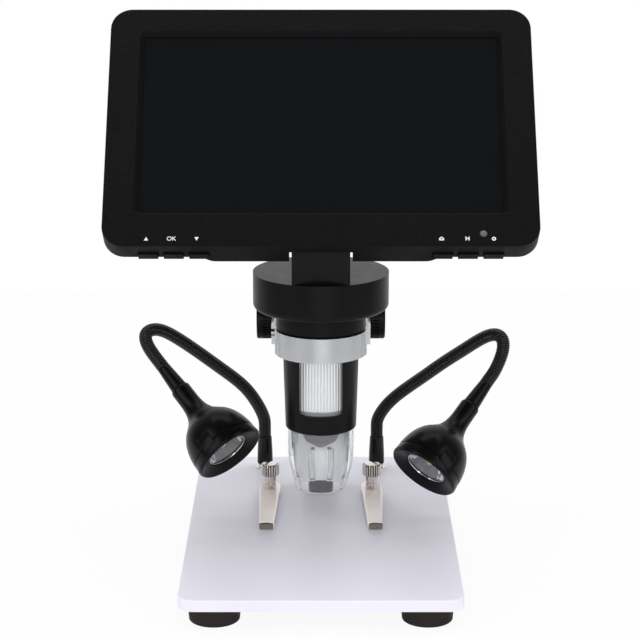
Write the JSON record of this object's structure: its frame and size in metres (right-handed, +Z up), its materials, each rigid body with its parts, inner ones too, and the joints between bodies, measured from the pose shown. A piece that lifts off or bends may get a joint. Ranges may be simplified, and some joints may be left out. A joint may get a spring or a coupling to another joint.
{
  "type": "screen microscope",
  "caption": "Desk microscope: a tilting flat screen on a focusing head, carried by a rack column on a metal base plate with gooseneck lamps and slide clips.",
  "frame": {"origin": "on the desk under the middle of the base plate", "axes": "+Z up, +X to the right of a person who looks at the screen, who stands on the -Y side"},
  "size_m": [0.185, 0.19, 0.245],
  "materials": {
    "plate_paint": "satin",
    "foot_rubber": "matte",
    "screw_steel": "satin",
    "column_black": "gloss",
    "rack_steel": "satin",
    "clip_nickel": "polished",
    "ring_aluminium": "satin",
    "bush_brass": "satin",
    "case_black": "matte",
    "head_black": "satin",
    "lamp_black": "satin",
    "hose_black": "satin",
    "wheel_silver": "satin",
    "shroud_clear": "clear",
    "lens_glass": "clear",
    "display_glass": "gloss",
    "display_black": "gloss",
    "status_grey": "gloss",
    "board_green": "satin",
    "cell_wrap": "satin",
    "reflector_bright": "polished"
  },
  "bodies": {
    "base": {"base_plate": "plate_paint", "rubber_feet": "foot_rubber", "base_screws": "screw_steel", "column": "column_black", "column_cap": "case_black", "rack": "rack_steel", "wiring_cover": "case_black", "power_inlet": "case_black", "clip_studs": "clip_nickel", "lamp_sockets": "clip_nickel"},
    "carriage": {"carriage": "ring_aluminium", "shaft_bushes": "bush_brass", "carriage_screws": "screw_steel"},
    "focus_knobs": {"pinion_shaft": "screw_steel", "focus_knob_left": "head_black", "focus_knob_right": "head_black"},
    "head": {"head_shell_front": "head_black", "head_shell_rear": "head_black", "barrel": "head_black", "clear_shroud": "shroud_clear", "led_ring": "board_green", "sensor_board": "board_green", "hinge_neck": "head_black", "hinge_pin": "screw_steel"},
    "focus_wheel": {"focus_wheel": "wheel_silver"},
    "lens": {"lens_cell": "head_black", "objective_lens": "lens_glass"},
    "screen": {"front_bezel": "case_black", "screen_glass": "display_glass", "lcd_panel": "display_black", "status_lens": "status_grey", "rear_cover": "case_black", "main_board": "board_green", "battery": "cell_wrap", "case_screws": "screw_steel"},
    "key_up": {"key_up": "case_black"},
    "key_ok": {"key_ok": "case_black"},
    "key_down": {"key_down": "case_black"},
    "key_camera": {"key_camera": "case_black"},
    "key_menu": {"key_menu": "case_black"},
    "key_power": {"key_power": "case_black"},
    "clip_leaf_left": {"clip_leaf_left": "clip_nickel"},
    "clip_nut_left": {"clip_nut_left": "clip_nickel"},
    "lamp_arm_left": {"lamp_plug_left": "lamp_black", "gooseneck_left": "hose_black"},
    "lamp_head_left": {"lamp_cuff_left": "lamp_black", "lamp_housing_left": "lamp_black", "lamp_trim_left": "lamp_black", "lamp_lens_left": "lens_glass", "lamp_reflector_left": "reflector_bright"},
    "clip_leaf_right": {"clip_leaf_right": "clip_nickel"},
    "clip_nut_right": {"clip_nut_right": "clip_nickel"},
    "lamp_arm_right": {"lamp_plug_right": "lamp_black", "gooseneck_right": "hose_black"},
    "lamp_head_right": {"lamp_cuff_right": "lamp_black", "lamp_housing_right": "lamp_black", "lamp_trim_right": "lamp_black", "lamp_lens_right": "lens_glass", "lamp_reflector_right": "reflector_bright"}
  },
  "joints": [
    {"name": "carriage_slide", "type": "slide", "parent": "base", "child": "carriage", "axis": [0, 0, 1], "range_m": [-0.012, 0.04]},
    {"name": "knob_turn", "type": "hinge", "parent": "carriage", "child": "focus_knobs", "pos_m": [0, 0.035, 0.1025], "axis": [1, 0, 0], "range_deg": [-410, 124]},
    {"name": "head_turn", "type": "hinge", "parent": "carriage", "child": "head", "pos_m": [0, -0.0075, 0.1025], "axis": [0, 0, 1], "range_deg": [-20, 20]},
    {"name": "screen_tilt", "type": "hinge", "parent": "head", "child": "screen", "pos_m": [0, -0.0326, 0.1566], "axis": [1, 0, 0], "range_deg": [-26, 39]},
    {"name": "focus_wheel_turn", "type": "hinge", "parent": "head", "child": "focus_wheel", "pos_m": [0, -0.0075, 0.083], "axis": [0, 0, 1], "range_deg": [-120, 120]},
    {"name": "lens_travel", "type": "slide", "parent": "head", "child": "lens", "axis": [0, 0, 1], "range_m": [-0.0027, 0.0027]},
    {"name": "key_up_press", "type": "slide", "parent": "screen", "child": "key_up", "axis": [0, 0.6307, 0.776], "range_m": [0, 0.0005], "stiffness_N_per_m": 600, "springref_m": -0.0005},
    {"name": "key_ok_press", "type": "slide", "parent": "screen", "child": "key_ok", "axis": [0, 0.6307, 0.776], "range_m": [0, 0.0005], "stiffness_N_per_m": 600, "springref_m": -0.0005},
    {"name": "key_down_press", "type": "slide", "parent": "screen", "child": "key_down", "axis": [0, 0.6307, 0.776], "range_m": [0, 0.0005], "stiffness_N_per_m": 600, "springref_m": -0.0005},
    {"name": "key_camera_press", "type": "slide", "parent": "screen", "child": "key_camera", "axis": [0, 0.6307, 0.776], "range_m": [0, 0.0005], "stiffness_N_per_m": 600, "springref_m": -0.0005},
    {"name": "key_menu_press", "type": "slide", "parent": "screen", "child": "key_menu", "axis": [0, 0.6307, 0.776], "range_m": [0, 0.0005], "stiffness_N_per_m": 600, "springref_m": -0.0005},
    {"name": "key_power_press", "type": "slide", "parent": "screen", "child": "key_power", "axis": [0, 0.6307, 0.776], "range_m": [0, 0.0005], "stiffness_N_per_m": 600, "springref_m": -0.0005},
    {"name": "clip_left_swing", "type": "hinge", "parent": "base", "child": "clip_leaf_left", "pos_m": [-0.0243, 0.042, 0.0146], "axis": [0, 0, 1], "range_deg": [-45, 20]},
    {"name": "clip_left_nut_turn", "type": "hinge", "parent": "base", "child": "clip_nut_left", "pos_m": [-0.0243, 0.042, 0.02], "axis": [0, 0, 1], "continuous": true},
    {"name": "lamp_left_swivel", "type": "hinge", "parent": "base", "child": "lamp_arm_left", "pos_m": [-0.0275, 0.078, 0.02], "axis": [0, 0, 1], "range_deg": [-30, 4]},
    {"name": "lamp_left_bend", "type": "hinge", "parent": "lamp_arm_left", "child": "lamp_head_left", "pos_m": [-0.08, 0.039, 0.0936], "axis": [-0.6717, -0.7408, 0], "range_deg": [-20, 8], "deforming": ["gooseneck_left"]},
    {"name": "clip_right_swing", "type": "hinge", "parent": "base", "child": "clip_leaf_right", "pos_m": [0.0243, 0.042, 0.0146], "axis": [0, 0, 1], "range_deg": [-20, 45]},
    {"name": "clip_right_nut_turn", "type": "hinge", "parent": "base", "child": "clip_nut_right", "pos_m": [0.0243, 0.042, 0.02], "axis": [0, 0, 1], "continuous": true},
    {"name": "lamp_right_swivel", "type": "hinge", "parent": "base", "child": "lamp_arm_right", "pos_m": [0.0275, 0.078, 0.02], "axis": [0, 0, 1], "range_deg": [-4, 30]},
    {"name": "lamp_right_bend", "type": "hinge", "parent": "lamp_arm_right", "child": "lamp_head_right", "pos_m": [0.0826, 0.039, 0.0918], "axis": [-0.7039, 0.7103, 0], "range_deg": [-20, 8], "deforming": ["gooseneck_right"]}
  ],
  "couplings": [
    {"joint": "knob_turn", "follows": "carriage_slide", "rad_per_m": -178.57},
    {"joint": "lens_travel", "follows": "focus_wheel_turn", "m_per_rad": 0.00127}
  ]
}
